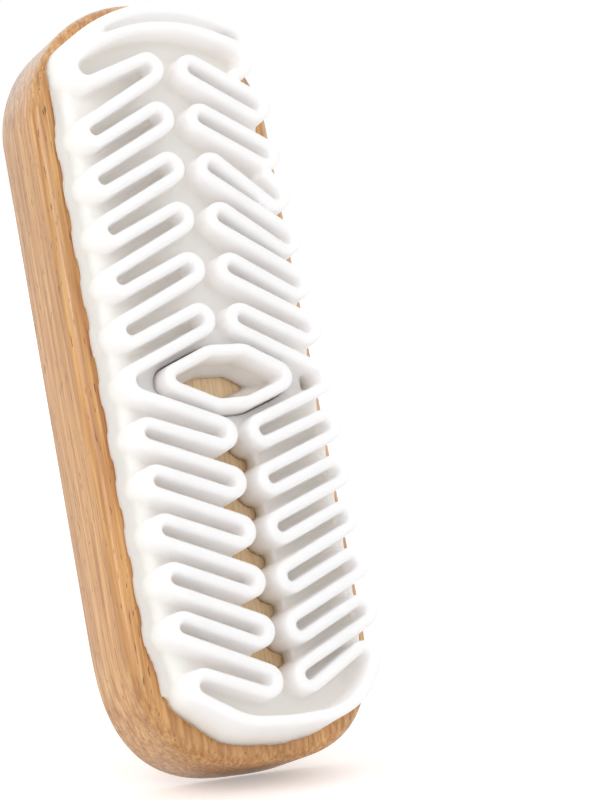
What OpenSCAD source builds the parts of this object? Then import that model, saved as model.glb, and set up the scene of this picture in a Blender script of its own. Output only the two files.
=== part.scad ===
// Suede brush: a lacquered wooden block with a moulded rubber pad glued to its face.
// The pad is a wall that winds up one side and down the other, round a six-sided ring.
// The block lies on its flat back. X runs along it, and the squarer end is at +X.

/* [Wooden block] */
// Length of the block
block_l = 138; // [132:1:150]
// Width of the block
block_w = 46.4; // [46:0.2:54]
// Thickness of the block
block_t = 14; // [10:0.5:20]
// Radius of the rounded upper rim
rim_r = 2.6; // [1:0.1:3]
// Chamfer of the lower edge
back_edge = 0.5; // [0.2:0.1:1]
// Depth of the curved part of the squarer end
front_depth = 25.3; // [20:0.1:30]
// Depth of the curved part of the rounder end
rear_depth = 22; // [20:0.1:30]

/* [Rubber pad] */
// Thickness of the film of adhesive under the pad
film_t = 0.3; // [0.2:0.1:0.6]
// Height of the ridges above the adhesive
wall_h = 8.5; // [6:0.1:12]
// Thickness of a wall near its ridge
wall_t = 2; // [1.6:0.1:2.4]
// How much each side of a wall spreads down to its foot
draft = 0.25; // [0.1:0.05:0.3]
// Height of the rounding along a ridge
ridge_round = 0.9; // [0.5:0.1:1.2]
// Radius of the hairpin bends, to the middle of the wall
bend_r = 1.9; // [1.7:0.05:2]
// Height of the low web that joins the feet of the outer bends
web_h = 2; // [1:0.1:4]
// Width of the web
web_w = 1.8; // [1.2:0.1:2.5]
// Depth of the shallow groove between the two arcs at the rounder end
groove_depth = 2.4; // [1:0.1:4]

/* [Pattern] */
// Number of inner bends on each side of each half
bends = 6; // [5:1:7]
// Flat wood left between the rim and the pad at both ends
end_margin = 1.4; // [1:0.1:3]
// Flat wood left between the rim and the pad on the left side
side_margin = 0.6; // [0:0.1:1]
// Distance from the middle of the block to the first inner bends of the front half
front_start = 14.6; // [14:0.1:16]
// Distance from the middle of the block to the last inner bends of the rear half
rear_stop = 5.2; // [5:0.1:6]

/* [Hidden] */
wood_colour = [0.76, 0.56, 0.36];
rubber_colour = [0.96, 0.95, 0.94];
film_colour = [0.88, 0.84, 0.72];
front_power = 2.8;
rear_power = 2.25;
end_steps = 22;
rim_steps = 5;
bend_step = 36;
arc_step = 9;
pad_z = block_t + film_t;

// Least distance from the rounded rim to the foot of the pad
rim_gap = 0.1;

// Half widths of a wall at its foot and near its ridge
foot_half = wall_t / 2 + draft;
ridge_half = wall_t / 2;

// Ends of the pad's foot, and the middles of the outer bends on both sides
front_end = block_l / 2 - rim_r - end_margin;
rear_end = -front_end;
right_y = block_w / 2 - rim_r - rim_gap - foot_half - bend_r;
left_y = side_margin - right_y;

// Rows of inner bends
rear_start = rear_end + 14.5;
front_pitch = (front_end - 8.4 - front_start) / (bends - 1);
rear_pitch = (-rear_stop - rear_start) / (bends - 1);

// A peg is [x, y, radius, side]: the wall passes it with the peg on its left (1) or right (-1).
LEFT = 1;
RIGHT = -1;

function bend(x, y, side) = [x, y, bend_r, side];

// Inner bends, next to the middle valley, and outer bends, along the edges
left_front_in = [for (k = [0:bends - 1]) [front_start + 0.1 + k * front_pitch, -3.1]];
right_front_in = [for (k = [0:bends - 1]) [front_start - 0.1 + k * front_pitch, 4.9]];
left_rear_in = [for (k = [0:bends - 1]) [rear_start - 0.1 + k * rear_pitch, -4.1 + 0.18 * k]];
right_rear_in = [for (k = [0:bends - 1]) [rear_start + 0.1 + k * rear_pitch, 4.3 + 0.1 * k]];
left_front_out = [for (k = [0:bends - 2]) [front_start - 0.7 + k * (front_pitch - 0.2), left_y]];
right_front_out = [for (k = [0:bends - 2]) [front_start - 0.2 + k * (front_pitch - 0.3), right_y]];
left_rear_out = [for (k = [0:bends - 2]) [rear_start + 11.5 + k * (rear_pitch - 0.25), left_y]];
right_rear_out = [
    for (k = [0:bends - 3]) [rear_start + 23.2 + k * (rear_pitch - 0.95), right_y - 1.1 + 0.35 * k]
];

// The pad's one long wall, from the rear arc down the left side, round the front and back up
front_tip = [front_end - 10.4, right_y - 1.1];
crescent = [
    [front_end - 8.6, left_y + 1.9, 2.1, LEFT],
    [front_end - 14.6, -4.2, 12.8, LEFT],
    [front_end - 30.4, 1.0, 29, LEFT],
    [front_end - 14.6, 5.8, 13, LEFT],
    bend(front_tip.x, front_tip.y, LEFT)
];
long_wall = [
    [rear_start + 0.9, 12.0, 0, LEFT],
    [rear_start - 2.1, 13.2, 2.6, LEFT],
    [rear_start + 22.2, 0.3, 30, LEFT],
    [rear_start + 0.1, left_y + 0.5, 2.4, LEFT],
    for (k = [0:bends - 1]) each [
        bend(left_rear_in[k].x, left_rear_in[k].y, RIGHT),
        if (k < bends - 1) bend(left_rear_out[k].x, left_rear_out[k].y, LEFT)
    ],
    [5.0, left_y + 0.6, 2.4, LEFT],
    for (k = [0:bends - 1]) each [
        bend(left_front_in[k].x, left_front_in[k].y, RIGHT),
        if (k < bends - 1) bend(left_front_out[k].x, left_front_out[k].y, LEFT)
    ],
    each crescent,
    for (k = [bends - 1:-1:0]) each [
        bend(right_front_in[k].x, right_front_in[k].y, RIGHT),
        if (k > 0) bend(right_front_out[k - 1].x, right_front_out[k - 1].y, LEFT)
    ],
    [5.9, right_y - 0.2, 2.1, LEFT],
    for (k = [bends - 1:-1:2]) each [
        bend(right_rear_in[k].x, right_rear_in[k].y, RIGHT),
        bend(right_rear_out[k - 2].x, right_rear_out[k - 2].y, LEFT)
    ],
    [rear_start + 18.7, right_y - 2.5, 0, LEFT]
];

// Two closed loops at the rear of the right side
first_tip = [rear_start + 6.7, right_y - 1.8];
second_tip = [rear_start + 15.6, right_y - 1.6];
first_loop = [bend(right_rear_in[0].x, right_rear_in[0].y, LEFT), bend(first_tip.x, first_tip.y, LEFT)];
second_loop = [bend(right_rear_in[1].x, right_rear_in[1].y, LEFT), bend(second_tip.x, second_tip.y, LEFT)];

// The outer of the two rear arcs
outer_arc_r = 28.2;
outer_arc_middle = [rear_start + 17, 0.8];
outer_arc = [
    [rear_start - 0.4, 14.9, 0, LEFT],
    [rear_start - 4.1, 12.2, 4.3, LEFT],
    [outer_arc_middle.x, outer_arc_middle.y, outer_arc_r, LEFT],
    [rear_start - 1.7, left_y + 2.2, 4, LEFT],
    [rear_start + 0.5, left_y - 1.8, 0, LEFT]
];

// The six-sided ring
ring = [
    [4.8, -9.4, 1.7, LEFT],
    [6.7, -1.8, 3.0, LEFT],
    [6.5, 2.6, 3.0, LEFT],
    [5.2, 9.8, 1.7, LEFT],
    [3.1, 3.4, 2.9, LEFT],
    [3.1, -2.2, 2.9, LEFT]
];

// Direction of the straight run from peg p to peg q
function run_angle(p, q) =
    let (lean = (q[3] * q[2] - p[3] * p[2]) / norm([q.x - p.x, q.y - p.y]))
    atan2(q.y - p.y, q.x - p.x) - asin(max(-1, min(1, lean)));

// Turn round a peg from one run to the next, in the peg's own sense
function turn_angle(a, b, side) =
    let (w = b - a, t = w - 360 * floor((w + 180) / 360))
    side > 0 && t < -0.01 ? t + 360 : side < 0 && t > 0.01 ? t - 360 : t;

function on_peg(p, u) = [p.x + p[3] * p[2] * sin(u), p.y - p[3] * p[2] * cos(u)];

function peg_points(p, a, b) =
    p[2] == 0 ? [[p.x, p.y]] :
    let (
        t = turn_angle(a, b, p[3]),
        step = p[2] > 2 * bend_r ? arc_step : bend_step,
        n = max(2, ceil(abs(t) / step))
    )
    [for (j = [0:n]) on_peg(p, a + t * j / n)];

// The path of a belt round the pegs, without points that fall together
function belt(pegs, closed) =
    let (
        n = len(pegs),
        runs = [for (i = [0:n - 1]) run_angle(pegs[i], pegs[(i + 1) % n])],
        raw = [
            for (i = [0:n - 1]) each
                !closed && i == 0 ? [on_peg(pegs[0], runs[0])] :
                !closed && i == n - 1 ? [on_peg(pegs[i], runs[i - 1])] :
                peg_points(pegs[i], runs[(i + n - 1) % n], runs[i])
        ],
        m = len(raw)
    )
    [for (i = [0:m - 1]) if (!closed && i == 0 || norm(raw[i] - raw[(i + m - 1) % m]) > 0.1) raw[i]];

function unit(v) = v / norm(v);

// Sideways step of one unit of width at point i, lengthened at a corner
function side_step(path, i, closed) =
    let (
        n = len(path),
        here = path[i],
        ahead = closed || i < n - 1 ? unit(path[(i + 1) % n] - here) : unit(here - path[i - 1]),
        behind = closed || i > 0 ? unit(here - path[(i + n - 1) % n]) : ahead,
        along = unit(ahead + behind),
        stretch = 1 / max(0.5, along * ahead)
    )
    [-along.y, along.x] * stretch;

// Sweeps a profile of [sideways, height] points along a path in the XY plane.
// The foot on the right of the path spreads by a further width at each point that has one.
module sweep(path, profile, closed, spread = []) {
    n = len(path);
    m = len(profile);
    steps = [for (i = [0:n - 1]) side_step(path, i, closed)];
    points = [
        for (i = [0:n - 1]) for (p = profile)
            let (w = p.x == -foot_half && len(spread) == n ? p.x - spread[i] : p.x)
            [path[i].x + steps[i].x * w, path[i].y + steps[i].y * w, p.y]
    ];
    sides = [
        for (i = [0:(closed ? n - 1 : n - 2)]) for (j = [0:m - 1])
            let (a = i * m, b = ((i + 1) % n) * m, k = (j + 1) % m)
            each [[a + j, a + k, b + k], [a + j, b + k, b + j]]
    ];
    ends = closed ? [] : [
        [for (j = [m - 1:-1:0]) j],
        [for (j = [0:m - 1]) (n - 1) * m + j]
    ];
    polyhedron(concat(points), concat(sides, ends));
}

// Section of a wall: a drafted rib with a rounded ridge
wall_profile = [
    [-foot_half, 0],
    [-ridge_half, wall_h - ridge_round],
    [-0.7 * ridge_half, wall_h - 0.25 * ridge_round],
    [-0.25 * ridge_half, wall_h],
    [0.25 * ridge_half, wall_h],
    [0.7 * ridge_half, wall_h - 0.25 * ridge_round],
    [ridge_half, wall_h - ridge_round],
    [foot_half, 0]
];
film_profile = [[-foot_half, 0], [-foot_half, film_t], [foot_half, film_t], [foot_half, 0]];

// The outer foot of the front crescent spreads towards the rim, and narrows again on both sides
// between two distances from the middle.
skirt_w = 1.4;
left_fade = [9, 17];
right_fade = [4, 13];
function skirt(p) =
    let (fade = p.y < 0 ? left_fade : right_fade, t = (abs(p.y) - fade[0]) / (fade[1] - fade[0]))
    norm([p.x - crescent[2].x, p.y - crescent[2].y]) < crescent[2][2] - 3 || p.x < 0 ? 0 :
    skirt_w * (1 - max(0, min(1, t)));

// Floor of the groove between the rear arcs, as a part turn about the middle of the outer arc
module groove_floor(h) {
    translate(outer_arc_middle) rotate(155) rotate_extrude(angle = 60, $fn = 96)
        translate([outer_arc_r - 3.6, 0]) square([3.6, h]);
}

// Outer bends in order along each side, from the rear, as pegs
left_tips = [
    [rear_start + 0.1, left_y + 0.5, 2.4],
    for (p = left_rear_out) [p.x, p.y, bend_r],
    [5.0, left_y + 0.6, 2.4],
    for (p = left_front_out) [p.x, p.y, bend_r],
    [front_end - 8.6, left_y + 1.9, 2.1]
];
right_tips = [
    [first_tip.x, first_tip.y, bend_r],
    [second_tip.x, second_tip.y, bend_r],
    for (p = right_rear_out) [p.x, p.y, bend_r],
    [5.9, right_y - 0.2, 2.1],
    for (p = right_front_out) [p.x, p.y, bend_r],
    [front_tip.x, front_tip.y, bend_r]
];
web_in = 0.5;
web_lap = 0.6;

// One short web from each outer bend to the next; side is -1 on the left and 1 on the right
module webs(tips, side, h) {
    for (k = [0:len(tips) - 2]) {
        a = tips[k];
        b = tips[k + 1];
        foot_a = a.y + side * (a[2] + foot_half - web_in);
        foot_b = b.y + side * (b[2] + foot_half - web_in);
        linear_extrude(h) polygon([
            [a.x + web_lap, foot_a],
            [b.x - web_lap, foot_b],
            [b.x - web_lap, foot_b - side * web_w],
            [a.x + web_lap, foot_a - side * web_w]
        ]);
    }
}

// Outline of the block, drawn in by an inset
function end_curve(half_w, depth, power) = [
    for (i = [0:end_steps])
        let (a = 90 * i / end_steps, c = pow(cos(a), 2 / power), s = pow(sin(a), 2 / power))
        [depth * c, half_w * s]
];

function block_outline(inset) =
    let (
        half_w = block_w / 2 - inset,
        front = end_curve(half_w, front_depth - inset, front_power),
        rear = end_curve(half_w, rear_depth - inset, rear_power),
        front_x = block_l / 2 - front_depth,
        rear_x = rear_depth - block_l / 2
    )
    concat(
        [for (i = [0:end_steps]) [front_x + front[i].x, front[i].y]],
        [for (i = [end_steps:-1:0]) [rear_x - rear[i].x, rear[i].y]],
        [for (i = [1:end_steps]) [rear_x - rear[i].x, -rear[i].y]],
        [for (i = [end_steps:-1:1]) [front_x + front[i].x, -front[i].y]]
    );

// Levels of the block as [inset, height], from the back to the face
block_levels = [
    [back_edge, 0],
    [0, back_edge],
    for (i = [0:rim_steps])
        let (a = 90 * i / rim_steps)
        [rim_r * (1 - cos(a)), block_t - rim_r * (1 - sin(a))]
];

module wooden_block() {
    rings = [for (l = block_levels) [for (p = block_outline(l[0])) [p.x, p.y, l[1]]]];
    n = len(rings[0]);
    top = len(rings) - 1;
    color(wood_colour)
        polyhedron(
            [for (r = rings) each r],
            concat(
                [[for (j = [0:n - 1]) j]],
                [
                    for (i = [0:top - 1]) for (j = [0:n - 1])
                        let (a = i * n + j, b = i * n + (j + 1) % n)
                        each [[a, a + n, b + n], [a, b + n, b]]
                ],
                [[for (j = [n - 1:-1:0]) top * n + j]]
            )
        );
}

module pad_walls(wall, floor_h) {
    path = belt(long_wall, false);
    sweep(path, wall, false, [for (p = path) skirt(p)]);
    sweep(belt(first_loop, true), wall, true);
    sweep(belt(second_loop, true), wall, true);
    sweep(belt(outer_arc, false), wall, false);
    groove_floor(floor_h);
}

// A resize by zero keeps every size and merges the walls and webs into one moulding.
module rubber_pad() {
    color(rubber_colour) translate([0, 0, pad_z]) resize([0, 0, 0]) {
        pad_walls(wall_profile, wall_h - groove_depth);
        webs(left_tips, -1, web_h);
        webs(right_tips, 1, web_h);
    }
}

module rubber_ring() {
    color(rubber_colour) translate([0, 0, pad_z]) sweep(belt(ring, true), wall_profile, true);
}

// The film lies under every foot of the pad and under the ring.
module adhesive_film() {
    color(film_colour) translate([0, 0, block_t]) resize([0, 0, 0]) {
        pad_walls(film_profile, film_t);
        webs(left_tips, -1, film_t);
        webs(right_tips, 1, film_t);
        sweep(belt(ring, true), film_profile, true);
    }
}

wooden_block();
adhesive_film();
rubber_pad();
rubber_ring();
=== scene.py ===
import math

import bmesh
import bpy
from mathutils import Matrix, Vector, noise

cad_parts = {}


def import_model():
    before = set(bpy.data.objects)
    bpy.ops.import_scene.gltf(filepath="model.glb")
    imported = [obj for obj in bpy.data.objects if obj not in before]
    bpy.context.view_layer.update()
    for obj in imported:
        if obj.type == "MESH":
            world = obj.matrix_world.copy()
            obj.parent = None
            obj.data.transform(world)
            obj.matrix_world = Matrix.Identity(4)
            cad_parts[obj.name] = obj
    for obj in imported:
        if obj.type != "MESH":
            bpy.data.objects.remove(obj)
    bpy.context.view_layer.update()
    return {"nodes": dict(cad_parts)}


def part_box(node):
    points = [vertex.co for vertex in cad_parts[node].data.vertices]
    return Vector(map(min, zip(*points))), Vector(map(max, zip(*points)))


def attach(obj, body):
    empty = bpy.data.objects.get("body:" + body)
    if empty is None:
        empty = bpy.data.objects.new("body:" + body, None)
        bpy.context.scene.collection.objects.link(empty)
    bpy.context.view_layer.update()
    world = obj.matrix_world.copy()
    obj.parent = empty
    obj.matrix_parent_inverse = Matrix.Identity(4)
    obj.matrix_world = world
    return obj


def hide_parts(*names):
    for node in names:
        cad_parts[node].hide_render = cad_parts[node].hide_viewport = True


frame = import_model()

# Looks of the suede brush. The block lies on its back at z = 0, the rubber faces up, and the
# squarer end is at +X. Lengths are in millimetres, and MM turns them to metres.
MM = 0.001

# ---- sizes of the frame ----
block_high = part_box("wooden_block")[1] / MM
pad_low, pad_high = (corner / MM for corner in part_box("rubber_pad"))
HALF_L, HALF_W, FACE_Z = block_high
PAD_Z = pad_low.z
WALL_H = pad_high.z - pad_low.z

# ---- sizes of the block ----
RIM_R = 2.6
BACK_EDGE = 0.5
FRONT_DEPTH, FRONT_POWER = 25.3, 2.8
# In the photograph the rounder end is a little shorter and fuller at its corners than the solid.
REAR_CUT = 2.5
REAR_DEPTH, REAR_POWER = 22.8, 1.93
# Width of the lacquered border of the face. The face inside it is bare.
BARE_INSET = 5
OUTLINE_STEPS = 256
RIM_STEPS, BACK_STEPS = 10, 3

# ---- sizes of the rubber ----
BENDS = 6
BEND_R = 1.9
RIDGE_HALF = 1.0
RIDGE_ROUND = 0.9
RIDGE_POWER = 2.3
RIDGE_POINTS = 9
FOOT_HALF = 1.25
FOOT_FLARE = 0.12
# Sideways lean of a soft ridge at its top, and the length over which it changes
SWAY = 0.22
SWAY_LENGTH = 9
# Spread of the foot at the front crescent, and where along y it fades out on each side
SKIRT_W = 1.4
LEFT_FADE, RIGHT_FADE = (9, 17), (4, 13)
WEB_H, WEB_W = 3.0, 1.8
WEB_SECTION = [(-0.5, 0), (-0.42, 0.8), (-0.2, 1), (0.2, 1), (0.42, 0.8), (0.5, 0)]
# How far a web lies inside the outer feet, how much further halfway, and the share of its
# height by which it rises towards the bends
WEB_INSET, WEB_SAG, WEB_RISE = 0.5, 0.25, 0.6
WEB_STEPS = 10
GROOVE_DEPTH = 2.4
GROOVE_START, GROOVE_TURN, GROOVE_STEPS = 155, 60, 40
SKIN_H = 3.5
# The skin's inner edges in y: the rear skin ends there, and the front valley is open between.
REAR_SKIN_Y = (-3, 4.5)
VALLEY_Y = (-3.2, 4.8)
# The skin outside the left bends: its reach past the feet, where that grows, and its notches
EDGE_W = 0.85
EDGE_GROWTH = 12
SCALLOP, SCALLOP_STEPS = 0.4, 12
EDGE_SECTION = [(0, 0), (0, 0.5), (0.35, 0.9), (1.6, 1.9), (2.8, 3.2), (2.8, 0)]
COLLAR_SECTION = [(-4.6, 0), (-4.6, 4.5), (-1.35, 4.5), (-1.35, 0)]
FILLET_SECTION = [(0.6, 0), (0.6, 2.8), (1.5, 2.0), (2.5, 0.9), (2.9, 0)]
VOXEL = 0.36
SOFTEN_ROUNDS = 4
MAX_TRIANGLES = 190000
LEFT, RIGHT = 1, -1

front_end = HALF_L - RIM_R - 1.4
rear_start = 14.5 - front_end
right_y = HALF_W - RIM_R - 0.1 - FOOT_HALF - BEND_R
left_y = 0.6 - right_y
front_start = 14.6
front_pitch = (front_end - 8.4 - front_start) / (BENDS - 1)
rear_pitch = (-5.2 - rear_start) / (BENDS - 1)


# ---- the pegs that the rubber walls wind round: (x, y, radius, side) ----
def bend(point, side):
    return (*point, BEND_R, side)


left_front_in = [(front_start + 0.1 + k * front_pitch, -3.1) for k in range(BENDS)]
right_front_in = [(front_start - 0.1 + k * front_pitch, 4.9) for k in range(BENDS)]
left_rear_in = [(rear_start - 0.1 + k * rear_pitch, -4.1 + 0.18 * k) for k in range(BENDS)]
right_rear_in = [(rear_start + 0.1 + k * rear_pitch, 4.3 + 0.1 * k) for k in range(BENDS)]
left_front_out = [
    (front_start - 0.7 + k * (front_pitch - 0.2), left_y) for k in range(BENDS - 1)
]
right_front_out = [
    (front_start - 0.2 + k * (front_pitch - 0.3), right_y) for k in range(BENDS - 1)
]
left_rear_out = [
    (rear_start + 11.5 + k * (rear_pitch - 0.25), left_y) for k in range(BENDS - 1)
]
right_rear_out = [
    (rear_start + 23.2 + k * (rear_pitch - 0.95), right_y - 1.1 + 0.35 * k)
    for k in range(BENDS - 2)
]
left_rear_tip = (rear_start + 0.1, left_y + 0.5, 2.4)
left_middle_tip = (5.0, left_y + 0.6, 2.4)
left_front_tip = (front_end - 8.6, left_y + 1.9, 2.1)
right_middle_tip = (5.9, right_y - 0.2, 2.1)
front_tip = (front_end - 10.4, right_y - 1.1)
first_tip = (rear_start + 6.7, right_y - 1.8)
second_tip = (rear_start + 15.6, right_y - 1.6)
crescent_middle, crescent_r = (front_end - 30.4, 1.0), 29
crescent = [
    (*left_front_tip, LEFT),
    (front_end - 14.6, -4.2, 12.8, LEFT),
    (*crescent_middle, crescent_r, LEFT),
    (front_end - 14.6, 5.8, 13, LEFT),
    bend(front_tip, LEFT),
]


def long_wall_pegs():
    pegs = [
        (rear_start + 0.9, 12.0, 0, LEFT),
        (rear_start - 2.1, 13.2, 2.6, LEFT),
        (rear_start + 22.2, 0.3, 30, LEFT),
        (*left_rear_tip, LEFT),
    ]
    for k in range(BENDS):
        pegs.append(bend(left_rear_in[k], RIGHT))
        pegs += [bend(left_rear_out[k], LEFT)] if k < BENDS - 1 else []
    pegs.append((*left_middle_tip, LEFT))
    for k in range(BENDS):
        pegs.append(bend(left_front_in[k], RIGHT))
        pegs += [bend(left_front_out[k], LEFT)] if k < BENDS - 1 else []
    pegs += crescent
    for k in reversed(range(BENDS)):
        pegs.append(bend(right_front_in[k], RIGHT))
        pegs += [bend(right_front_out[k - 1], LEFT)] if k > 0 else []
    pegs.append((*right_middle_tip, LEFT))
    for k in reversed(range(2, BENDS)):
        pegs += [bend(right_rear_in[k], RIGHT), bend(right_rear_out[k - 2], LEFT)]
    pegs.append((rear_start + 18.7, right_y - 2.5, 0, LEFT))
    return pegs


first_loop = [bend(right_rear_in[0], LEFT), bend(first_tip, LEFT)]
second_loop = [bend(right_rear_in[1], LEFT), bend(second_tip, LEFT)]
outer_arc_middle, outer_arc_r = (rear_start + 17, 0.8), 28.2
outer_arc = [
    (rear_start - 0.4, 14.9, 0, LEFT),
    (rear_start - 4.1, 12.2, 4.3, LEFT),
    (*outer_arc_middle, outer_arc_r, LEFT),
    (rear_start - 1.7, left_y + 2.2, 4, LEFT),
    (rear_start + 0.5, left_y - 1.8, 0, LEFT),
]
ring_pegs = [
    (4.8, -9.4, 1.7, LEFT),
    (6.7, -1.8, 3.0, LEFT),
    (6.5, 2.6, 3.0, LEFT),
    (5.2, 9.8, 1.7, LEFT),
    (3.1, 3.4, 2.9, LEFT),
    (3.1, -2.2, 2.9, LEFT),
]

# ---- the outer bends that a web joins, from the rear to the front: (x, y, radius) ----
left_tips = (
    [left_rear_tip]
    + [(*p, BEND_R) for p in left_rear_out]
    + [left_middle_tip]
    + [(*p, BEND_R) for p in left_front_out]
    + [left_front_tip]
)
right_tips = (
    [(*p, BEND_R) for p in (first_tip, second_tip, *right_rear_out)]
    + [right_middle_tip]
    + [(*p, BEND_R) for p in (*right_front_out, front_tip)]
)


# ---- the path of a belt round its pegs ----
def run_angle(p, q):
    lean = (q[3] * q[2] - p[3] * p[2]) / math.hypot(q[0] - p[0], q[1] - p[1])
    return math.atan2(q[1] - p[1], q[0] - p[0]) - math.asin(max(-1, min(1, lean)))


def on_peg(p, angle):
    reach = p[3] * p[2]
    return Vector((p[0] + reach * math.sin(angle), p[1] - reach * math.cos(angle)))


def round_peg(p, arriving, leaving, finest):
    """Points round a peg, no further apart than finest mm nor than 15 degrees."""
    if p[2] == 0:
        return [Vector(p[:2])]
    turn = (leaving - arriving + math.pi) % (2 * math.pi) - math.pi
    if p[3] * turn < -0.001:
        turn += p[3] * 2 * math.pi
    count = max(2, math.ceil(abs(turn) / min(math.radians(15), finest / p[2])))
    return [on_peg(p, arriving + turn * j / count) for j in range(count + 1)]


def belt(pegs, closed, finest=0.5):
    """The path of a wall, as 2-D points."""
    n = len(pegs)
    runs = [run_angle(pegs[i], pegs[(i + 1) % n]) for i in range(n)]
    points = []
    for i, p in enumerate(pegs):
        if closed or 0 < i < n - 1:
            points += round_peg(p, runs[i - 1], runs[i], finest)
        else:
            points.append(on_peg(p, runs[i] if i == 0 else runs[i - 1]))
    kept = [points[0]]
    for point in points[1:]:
        if (point - kept[-1]).length > 0.05:
            kept.append(point)
    if closed and (kept[-1] - kept[0]).length < 0.05:
        kept.pop()
    return kept


def sideways(path, i, closed):
    """A step of one unit to the left of the path at point i, lengthened at a corner."""
    n = len(path)
    ahead = (path[(i + 1) % n] - path[i]).normalized() if closed or i < n - 1 else None
    behind = (path[i] - path[i - 1]).normalized() if closed or i > 0 else None
    ahead, behind = ahead or behind, behind or ahead
    along = (ahead + behind).normalized()
    return Vector((-along.y, along.x)) / max(0.5, along.dot(ahead))


# ---- pieces of the moulding, which all start at PAD_Z ----
def extrude_stations(bm, corners, stations, place, closed=False):
    """Extrudes a loop of corners. place(k, i) is the spot of corner k at station i, in mm."""
    mark = bm.verts.layers.int.get("mark") or bm.verts.layers.int.new("mark")

    def settle(verts, i):
        for v in verts:
            v.co = place(v[mark], i) * MM

    first = [bm.verts.new() for _ in range(corners)]
    for k, v in enumerate(first):
        v[mark] = k
    edges = [bm.edges.new((first[k - 1], first[k])) for k in range(corners)]
    settle(first, 0)
    ring = edges
    for i in range(1, stations):
        geom = bmesh.ops.extrude_edge_only(bm, edges=ring)["geom"]
        ring = [g for g in geom if isinstance(g, bmesh.types.BMEdge) and len(g.link_faces) == 1]
        settle([g for g in geom if isinstance(g, bmesh.types.BMVert)], i)
    if closed:
        bmesh.ops.bridge_loops(bm, edges=edges + ring)
    else:
        bmesh.ops.edgeloop_fill(bm, edges=edges)
        bmesh.ops.edgeloop_fill(bm, edges=ring)


def sway(spot, height):
    """How far a soft wall leans at a height: the real ridges aren't perfectly straight."""
    lean = noise.noise_vector(Vector((spot.x / SWAY_LENGTH, spot.y / SWAY_LENGTH, 0.4)))
    return Vector((lean.x, lean.y)) * SWAY * (height / WALL_H) ** 2


def sweep(bm, path, section, closed, spread=None):
    """Runs a closed section of (sideways, height) points along a path.

    spread widens the foot on the right of each point of the path."""
    steps = [sideways(path, i, closed) for i in range(len(path))]

    def place(k, i):
        w, h = section[k]
        if spread and w < 0:
            w -= spread[i] * (1 - min(1, h / (WALL_H - RIDGE_ROUND)))
        spot = path[i] + steps[i] * w
        spot += sway(spot, h)
        return Vector((*spot, PAD_Z + h))

    extrude_stations(bm, len(section), len(path), place, closed)


def wall_section():
    """A drafted wall whose ridge is an oval round and whose foot flares a little."""
    shoulder = WALL_H - RIDGE_ROUND
    half = [
        (FOOT_HALF + FOOT_FLARE, 0),
        (FOOT_HALF - 0.04, 0.45),
        ((FOOT_HALF + RIDGE_HALF) / 2, shoulder / 2),
        (RIDGE_HALF + 0.02, shoulder - 0.6),
    ]
    for k in range(RIDGE_POINTS):
        a = math.pi / 2 * k / RIDGE_POINTS
        w = RIDGE_HALF * math.cos(a) ** (2 / RIDGE_POWER)
        half.append((w, shoulder + RIDGE_ROUND * math.sin(a) ** (2 / RIDGE_POWER)))
    return [(-w, h) for w, h in half] + [(0, WALL_H)] + half[::-1]


def skirt(p):
    """Width by which the outer foot of the front crescent spreads at a point of the path."""
    if p.x < 0 or (p - Vector(crescent_middle)).length < crescent_r - 3:
        return 0
    start, end = LEFT_FADE if p.y < 0 else RIGHT_FADE
    return SKIRT_W * (1 - max(0, min(1, (abs(p.y) - start) / (end - start))))


def walls(bm):
    """All the walls of the pad."""
    section = wall_section()
    path = belt(long_wall_pegs(), False)
    sweep(bm, path, section, False, [skirt(p) for p in path])
    sweep(bm, belt(first_loop, True), section, True)
    sweep(bm, belt(second_loop, True), section, True)
    sweep(bm, belt(outer_arc, False), section, False)


def web(bm, a, b, side):
    """A low web from an outer bend to the next, lowest and furthest in halfway along."""
    inset = WEB_INSET + WEB_W / 2
    ends = [Vector((x, y + side * (r + FOOT_HALF - inset))) for x, y, r in (a, b)]

    def place(k, i):
        w, h = WEB_SECTION[k]
        sag = 1 - (2 * i / WEB_STEPS - 1) ** 2
        spot = ends[0].lerp(ends[1], i / WEB_STEPS)
        spot.y += side * (w * WEB_W - WEB_SAG * sag)
        return Vector((*spot, PAD_Z + h * WEB_H * (1 + WEB_RISE * (1 - sag))))

    extrude_stations(bm, len(WEB_SECTION), WEB_STEPS + 1, place)


def webs(bm):
    for tips, side in ((left_tips, -1), (right_tips, 1)):
        for a, b in zip(tips, tips[1:]):
            web(bm, a, b, side)


def groove_floor(bm):
    """The floor of the shallow groove between the two rear arcs."""
    height = WALL_H - GROOVE_DEPTH
    middle = Vector((*outer_arc_middle, PAD_Z)) * MM
    start = Matrix.Rotation(math.radians(GROOVE_START), 3, "Z")
    corners = [(-3.6, 0), (-3.6, height), (-1.8, height - 0.25), (0, height), (0, 0)]
    verts = [
        bm.verts.new(middle + start @ Vector((outer_arc_r + r, 0, h)) * MM) for r, h in corners
    ]
    face = bm.faces.new(verts)
    bmesh.ops.spin(
        bm,
        geom=[face, *face.edges, *verts],
        axis=(0, 0, 1),
        cent=middle,
        angle=math.radians(GROOVE_TURN),
        steps=GROOVE_STEPS,
    )


def slab(bm, outline):
    """A flat slab of skin over an outline."""
    face = bm.faces.new([bm.verts.new(Vector((x, y, PAD_Z)) * MM) for x, y in outline])
    top = bmesh.ops.extrude_face_region(bm, geom=[face])["geom"]
    bmesh.ops.translate(
        bm, verts=[g for g in top if isinstance(g, bmesh.types.BMVert)], vec=(0, 0, SKIN_H * MM)
    )


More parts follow.
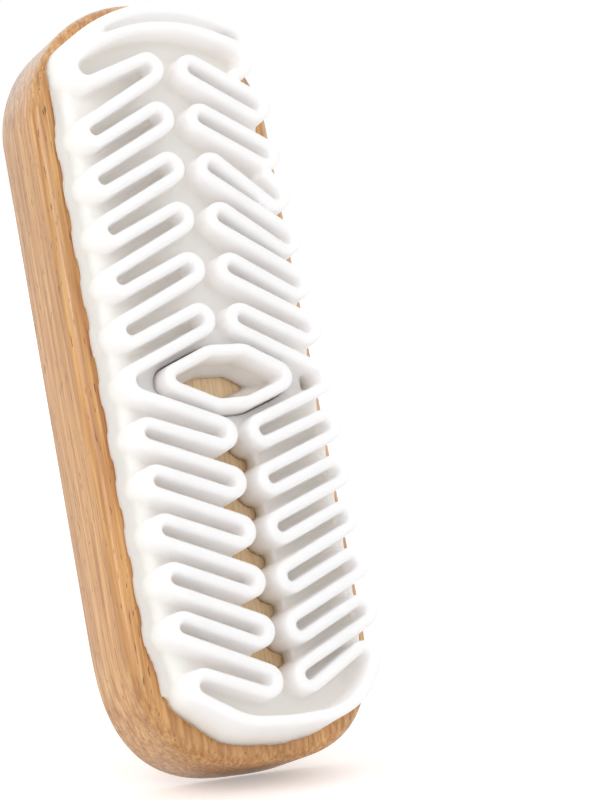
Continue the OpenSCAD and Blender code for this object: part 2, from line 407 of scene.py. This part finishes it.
def base_skin(bm):
    """The low skin of rubber in the slots and round the outside of the ring."""
    rear_x = right_rear_in[-1][0]
    front_x, last_x = right_front_in[0][0], right_front_in[-1][0]
    low_y, high_y = left_y - 1.4, right_y + 0.6
    rear = [
        (rear_x + 7, low_y),
        (rear_x, REAR_SKIN_Y[0]),
        (rear_x, REAR_SKIN_Y[1]),
        (rear_x + 8, high_y),
    ]
    slab(bm, belt(outer_arc, False, 2) + rear)
    front = [
        (front_x - 6, high_y),
        (front_x, VALLEY_Y[1]),
        (last_x, VALLEY_Y[1]),
        (last_x, VALLEY_Y[0]),
        (front_x, VALLEY_Y[0]),
        (front_x - 7, low_y),
        (left_front_out[-1][0], low_y),
    ]
    slab(bm, belt(crescent, False, 2) + front)
    sweep(bm, belt(ring_pegs, True, 1), COLLAR_SECTION, True)


def left_edge(bm):
    """The low soft edge of the skin outside the left bends, with a shallow notch between bends."""
    path = []
    for a, b in zip(left_tips, left_tips[1:]):
        for t in range(SCALLOP_STEPS + (b is left_tips[-1])):
            p = Vector(a).lerp(Vector(b), t / SCALLOP_STEPS)
            grown = min(1, (p.x - left_rear_tip[0]) / EDGE_GROWTH)
            reach = p.z + FOOT_HALF + EDGE_W * grown
            notch = SCALLOP * (1 - math.cos(2 * math.pi * t / SCALLOP_STEPS)) / 2
            path.append(Vector((p.x, p.y - reach + notch)))
    sweep(bm, path, EDGE_SECTION, False)


def build_pad(bm):
    walls(bm)
    webs(bm)
    groove_floor(bm)
    base_skin(bm)
    left_edge(bm)


def build_ring(bm):
    sweep(bm, belt(ring_pegs, True), wall_section(), True)
    sweep(bm, belt(ring_pegs, True), FILLET_SECTION, True)


# ---- from bmesh to object ----
def finish_piece(bm, name, smooth_angle=None):
    """Makes the bmesh an object at the origin, with its faces outwards."""
    bmesh.ops.recalc_face_normals(bm, faces=bm.faces)
    mesh = bpy.data.meshes.new(name)
    bm.to_mesh(mesh)
    bm.free()
    piece = bpy.data.objects.new(name, mesh)
    bpy.context.scene.collection.objects.link(piece)
    mesh.polygons.foreach_set("use_smooth", [True] * len(mesh.polygons))
    if smooth_angle:
        mesh.set_sharp_from_angle(angle=math.radians(smooth_angle))
    return piece


def fuse(piece):
    """Fuses overlapping shells into one moulding with soft fillets, as a mould gives them."""
    remesh = piece.modifiers.new("fuse", "REMESH")
    remesh.mode = "VOXEL"
    remesh.voxel_size = VOXEL * MM
    remesh.use_smooth_shade = True
    soften = piece.modifiers.new("soften", "SMOOTH")
    soften.factor = 0.5
    soften.iterations = SOFTEN_ROUNDS
    thin = piece.modifiers.new("thin", "DECIMATE")
    dg = bpy.context.evaluated_depsgraph_get()
    thin.show_viewport = thin.show_render = False
    dg.update()
    count = len(piece.evaluated_get(dg).data.loop_triangles)
    thin.show_viewport = thin.show_render = True
    thin.ratio = min(1, MAX_TRIANGLES / max(1, count))
    dg = bpy.context.evaluated_depsgraph_get()
    mesh = bpy.data.meshes.new_from_object(piece.evaluated_get(dg))
    piece.modifiers.clear()
    piece.data = mesh
    mesh.polygons.foreach_set("use_smooth", [True] * len(mesh.polygons))


# ---- materials ----
def hex_colour(code):
    """A linear colour from an sRGB hex code such as C8935F."""
    parts = [int(code[i : i + 2], 16) / 255 for i in (0, 2, 4)]
    return [*(c / 12.92 if c < 0.04045 else ((c + 0.055) / 1.055) ** 2.4 for c in parts), 1]


def grey(value):
    return [value, value, value, 1]


def add(tree, kind, links=(), inputs=(), stops=(), **settings):
    """Adds a node. links are (own input, another node's output), stops a ramp's colours."""
    node = tree.nodes.new(kind)
    for key, value in settings.items():
        setattr(node, key, value)
    for socket, number in dict(inputs).items():
        node.inputs[socket].default_value = number
    for socket, output in links:
        tree.links.new(output, node.inputs[socket])
    for _ in stops[2:]:
        node.color_ramp.elements.new(0.5)
    for k, (spot, colour) in enumerate(stops):
        node.color_ramp.elements[k].position = spot
        node.color_ramp.elements[k].color = colour
    return node


def new_material(name):
    material = bpy.data.materials.new(name)
    material.use_nodes = True
    tree = material.node_tree
    return material, tree, tree.nodes["Principled BSDF"]


def beech(name, tones, pore_tone, lacquer):
    """Sanded beech: long soft streaks, fine fibres and short dark pores along the block.

    Lacquer adds a clear sheen that follows the grain."""
    material, tree, shader = new_material(name)
    place = add(tree, "ShaderNodeTexCoord").outputs["Object"]

    def stretched(length_mm, width_mm, detail, distortion=0.0):
        scale = (1 / (length_mm * MM), 1 / (width_mm * MM), 1 / (width_mm * MM))
        spot = add(
            tree, "ShaderNodeMapping", links=[("Vector", place)], inputs={"Scale": scale}
        )
        return add(
            tree,
            "ShaderNodeTexNoise",
            links=[("Vector", spot.outputs["Vector"])],
            inputs={"Scale": 1, "Detail": detail, "Distortion": distortion},
        ).outputs["Fac"]

    figure = stretched(70, 9, 2, 0.3)
    streaks = stretched(24, 0.7, 4, 0.2)
    fibres = stretched(8, 0.24, 3)
    pores = stretched(2.6, 0.3, 1)
    spots = (0.28, 0.45, 0.58, 0.75)
    colour = add(
        tree,
        "ShaderNodeValToRGB",
        links=[("Fac", streaks)],
        stops=[(spot, hex_colour(tone)) for spot, tone in zip(spots, tones)],
    ).outputs["Color"]
    for pattern, strength, shades in (
        (figure, 1.0, [(0.3, grey(0.82)), (0.7, grey(1.08))]),
        (fibres, 0.8, [(0.3, grey(0.86)), (0.6, grey(1.04))]),
    ):
        shade = add(
            tree, "ShaderNodeValToRGB", links=[("Fac", pattern)], stops=shades
        ).outputs["Color"]
        colour = add(
            tree,
            "ShaderNodeMix",
            data_type="RGBA",
            blend_type="MULTIPLY",
            inputs={0: strength},
            links=[(6, colour), (7, shade)],
        ).outputs[2]
    pore_mask = add(
        tree,
        "ShaderNodeValToRGB",
        links=[("Fac", pores)],
        stops=[(0.66, grey(0)), (0.74, grey(1))],
    ).outputs["Color"]
    colour = add(
        tree,
        "ShaderNodeMix",
        data_type="RGBA",
        inputs={7: hex_colour(pore_tone)},
        links=[(0, pore_mask), (6, colour)],
    ).outputs[2]
    rough = add(
        tree,
        "ShaderNodeValToRGB",
        links=[("Fac", streaks)],
        stops=[(0.3, grey(0.5)), (0.7, grey(0.3))],
    ).outputs["Color"]
    height = add(
        tree,
        "ShaderNodeMath",
        operation="SUBTRACT",
        links=[(0, fibres), (1, pore_mask)],
    ).outputs[0]
    bump = add(
        tree,
        "ShaderNodeBump",
        inputs={"Strength": 0.35, "Distance": 0.05 * MM},
        links=[("Height", height)],
    ).outputs["Normal"]
    for socket, output in (
        ("Base Color", colour),
        ("Roughness", rough),
        ("Normal", bump),
        ("Coat Normal", bump),
    ):
        tree.links.new(output, shader.inputs[socket])
    shader.inputs["Coat Weight"].default_value = lacquer
    shader.inputs["Coat Roughness"].default_value = 0.16
    shader.inputs["IOR"].default_value = 1.5
    return material


def moulded_rubber():
    """White moulded rubber: soft and matt, and light passes through its thin walls.

    It is painted a little warmer towards the foot: painted warm light, for the light that the wood
    throws back onto the lower walls."""
    material, tree, shader = new_material("moulded white rubber")
    place = add(tree, "ShaderNodeTexCoord").outputs["Object"]
    height = add(tree, "ShaderNodeSeparateXYZ", links=[("Vector", place)]).outputs["Z"]
    level = add(
        tree,
        "ShaderNodeMapRange",
        links=[("Value", height)],
        inputs={"From Min": PAD_Z * MM, "From Max": (PAD_Z + WALL_H) * MM},
    ).outputs[0]
    # Painted light: the tones grow warmer towards the foot, standing in for warm light thrown back
    # from the wood into the slots.
    tones = ((0.1, "FCEEE2"), (0.5, "FCF5F1"), (0.85, "FAF8F8"))
    colour = add(
        tree,
        "ShaderNodeValToRGB",
        links=[("Fac", level)],
        stops=[(spot, hex_colour(tone)) for spot, tone in tones],
    ).outputs["Color"]
    tree.links.new(colour, shader.inputs["Base Color"])
    grain = add(
        tree,
        "ShaderNodeTexNoise",
        links=[("Vector", place)],
        inputs={"Scale": 1 / (0.5 * MM), "Detail": 2},
    ).outputs["Fac"]
    bump = add(
        tree,
        "ShaderNodeBump",
        inputs={"Strength": 0.12, "Distance": 0.04 * MM},
        links=[("Height", grain)],
    ).outputs["Normal"]
    tree.links.new(bump, shader.inputs["Normal"])
    shader.inputs["Roughness"].default_value = 0.5
    shader.inputs["IOR"].default_value = 1.45
    shader.inputs["Subsurface Weight"].default_value = 1.0
    shader.inputs["Subsurface Radius"].default_value = (1.0, 0.96, 0.92)
    shader.inputs["Subsurface Scale"].default_value = 5 * MM
    return material


def adhesive_with_painted_shade():
    """Dried contact adhesive: thin and slightly glossy, with a tan that is partly its own and
    partly painted shade for the dark line at the foot of the walls.
    """
    material, _, shader = new_material("dried contact adhesive")
    # Partly painted shade: this tan also stands for the line of shade where the rubber walls meet
    # the wood.
    shader.inputs["Base Color"].default_value = hex_colour("C9A274")
    shader.inputs["Roughness"].default_value = 0.4
    shader.inputs["IOR"].default_value = 1.5
    return material


# The sides have a clear satin lacquer. The face under the pad is bare and paler.
lacquered_beech = beech("lacquered beech", ("AA6F36", "C0884B", "D19C5C", "E0B377"), "7D4E2A", 0.7)
bare_beech = beech("bare sanded beech", ("E8C594", "EFD1A4", "F3DBB4", "F8E6C6"), "CDA878", 0.0)
rubber = moulded_rubber()
adhesive = adhesive_with_painted_shade()


# ---- the wooden block and the rubber ----
def outline_point(angle):
    """A point of the block's outline: straight sides, and an oval curve at each end."""
    c, s = math.cos(angle), math.sin(angle)
    depth, power = (FRONT_DEPTH, FRONT_POWER) if c >= 0 else (REAR_DEPTH, REAR_POWER)
    reach = depth * abs(c) ** (2 / power)
    x = HALF_L - depth + reach if c >= 0 else depth - HALF_L + REAR_CUT - reach
    return Vector((x, math.copysign(HALF_W * abs(s) ** (2 / power), s)))


def wooden_block():
    bm = bmesh.new()
    circle = bmesh.ops.create_circle(bm, cap_ends=True, segments=OUTLINE_STEPS, radius=1)
    for v in circle["verts"]:
        spot = outline_point(math.atan2(v.co.y, v.co.x))
        v.co = Vector((*spot, 0)) * MM
    bmesh.ops.remove_doubles(bm, verts=bm.verts, dist=0.02 * MM)
    top = bmesh.ops.extrude_face_region(bm, geom=list(bm.faces))["geom"]
    top_verts = [g for g in top if isinstance(g, bmesh.types.BMVert)]
    bmesh.ops.translate(bm, verts=top_verts, vec=(0, 0, FACE_Z * MM))
    for height, size, steps in ((FACE_Z, RIM_R, RIM_STEPS), (0, BACK_EDGE, BACK_STEPS)):
        rim = [e for e in bm.edges if all(abs(v.co.z - height * MM) < 1e-7 for v in e.verts)]
        bmesh.ops.bevel(
            bm,
            geom=rim,
            offset=size * MM,
            segments=steps,
            profile=0.5,
            affect="EDGES",
            material=-1,
            clamp_overlap=True,
        )
    face = max(bm.faces, key=lambda f: f.calc_center_median().z * (f.normal.z > 0.99))
    bmesh.ops.inset_individual(bm, faces=[face], thickness=BARE_INSET * MM)
    face.material_index = 1
    block = finish_piece(bm, "block", smooth_angle=40)
    block.data.materials.append(lacquered_beech)
    block.data.materials.append(bare_beech)
    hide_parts("wooden_block")
    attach(block, "root")


def rubber_moulding(name, node, build):
    bm = bmesh.new()
    build(bm)
    piece = finish_piece(bm, name)
    fuse(piece)
    piece.data.materials.clear()
    piece.data.materials.append(rubber)
    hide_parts(node)
    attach(piece, "root")


wooden_block()
rubber_moulding("pad", "rubber_pad", build_pad)
rubber_moulding("ring", "rubber_ring", build_ring)
film = frame["nodes"]["adhesive_film"]
film.data.materials.clear()
film.data.materials.append(adhesive)

# ---- floor, light and camera ----
CAMERA_SPOT = Vector((109.56, -226.57, 400.86))
RIGHT_AXIS = Vector((0.18555, 0.85153, 0.49037))
DOWN_AXIS = Vector((0.95828, -0.04641, -0.28202))
INTO_AXIS = Vector((-0.21740, 0.52224, -0.82462))
LENS, SENSOR = 121.6, 36
FLOOR_UP = Vector((-0.931, -0.007, 0.364)).normalized()
FLOOR_SIZE = 6
# Clearance under the lowest corner, and the white that only the camera sees added to the floor
FLOOR_GAP = 0.1
FLOOR_GLOW = 0.3
LAMP_DISTANCE = 0.7


def floor():
    """A pale floor under the lower end, seen from above only."""
    bpy.ops.mesh.primitive_plane_add(size=FLOOR_SIZE)
    plane = bpy.context.object
    lowest = min(
        (Vector(c) * MM).dot(FLOOR_UP)
        for c in ((HALF_L, 0, 0), (HALF_L - 3, 0, 0), (HALF_L, 0, BACK_EDGE))
    )
    turned = FLOOR_UP.to_track_quat("Z", "Y").to_matrix().to_4x4()
    plane.matrix_world = Matrix.Translation(FLOOR_UP * (lowest - FLOOR_GAP * MM)) @ turned
    # Matt white paper keeps the soft shadow of the brush.
    material = bpy.data.materials.new("white paper floor")
    material.use_nodes = True
    tree = material.node_tree
    tree.nodes.clear()
    matt = add(tree, "ShaderNodeBsdfDiffuse", inputs={"Color": hex_colour("F4F3F2")})
    rays = add(tree, "ShaderNodeLightPath")
    dim = add(
        tree,
        "ShaderNodeMath",
        operation="MULTIPLY",
        inputs={1: FLOOR_GLOW},
        links=[(0, rays.outputs["Is Camera Ray"])],
    )
    glow = add(tree, "ShaderNodeEmission", links=[("Strength", dim.outputs[0])])
    lit = add(
        tree, "ShaderNodeAddShader", links=[(0, matt.outputs[0]), (1, glow.outputs[0])]
    )
    clear = add(tree, "ShaderNodeBsdfTransparent")
    side = add(tree, "ShaderNodeNewGeometry").outputs["Backfacing"]
    mix = add(
        tree,
        "ShaderNodeMixShader",
        links=[(0, side), (1, lit.outputs[0]), (2, clear.outputs[0])],
    )
    add(tree, "ShaderNodeOutputMaterial", links=[("Surface", mix.outputs[0])])
    plane.data.materials.append(material)


def world():
    """Even white light all round. A strength of 1 is also the white of the background."""
    scene_world = bpy.data.worlds.new("studio")
    bpy.context.scene.world = scene_world
    scene_world.use_nodes = True
    background = scene_world.node_tree.nodes["Background"]
    background.inputs["Color"].default_value = grey(1)
    background.inputs["Strength"].default_value = 1.0


def soft_light(name, direction, size, power):
    """A rectangular lamp that faces the middle of the brush."""
    data = bpy.data.lights.new(name, "AREA")
    data.shape = "RECTANGLE"
    data.size, data.size_y = size
    data.energy = power
    lamp = bpy.data.objects.new(name, data)
    lamp.location = direction.normalized() * LAMP_DISTANCE
    lamp.rotation_mode = "QUATERNION"
    lamp.rotation_quaternion = direction.to_track_quat("Z", "Y")
    bpy.context.scene.collection.objects.link(lamp)


def camera():
    data = bpy.data.cameras.new("camera")
    data.lens = LENS
    data.sensor_width = SENSOR
    data.clip_start, data.clip_end = 0.01, 20
    seat = bpy.data.objects.new("camera", data)
    axes = Matrix((RIGHT_AXIS, -DOWN_AXIS, -INTO_AXIS)).transposed()
    seat.matrix_world = Matrix.Translation(CAMERA_SPOT * MM) @ axes.to_4x4()
    bpy.context.scene.collection.objects.link(seat)
    bpy.context.scene.camera = seat


floor()
world()
soft_light("key", -RIGHT_AXIS * 0.5 - DOWN_AXIS * 0.6 - INTO_AXIS, (0.3, 0.3), 0.55)
# The long lamp gives the rounded rim its streak of light.
soft_light("rim", Vector((-0.22, -0.82, 0.52)), (0.7, 0.05), 0.45)
camera()
bpy.context.scene.view_settings.view_transform = "Standard"
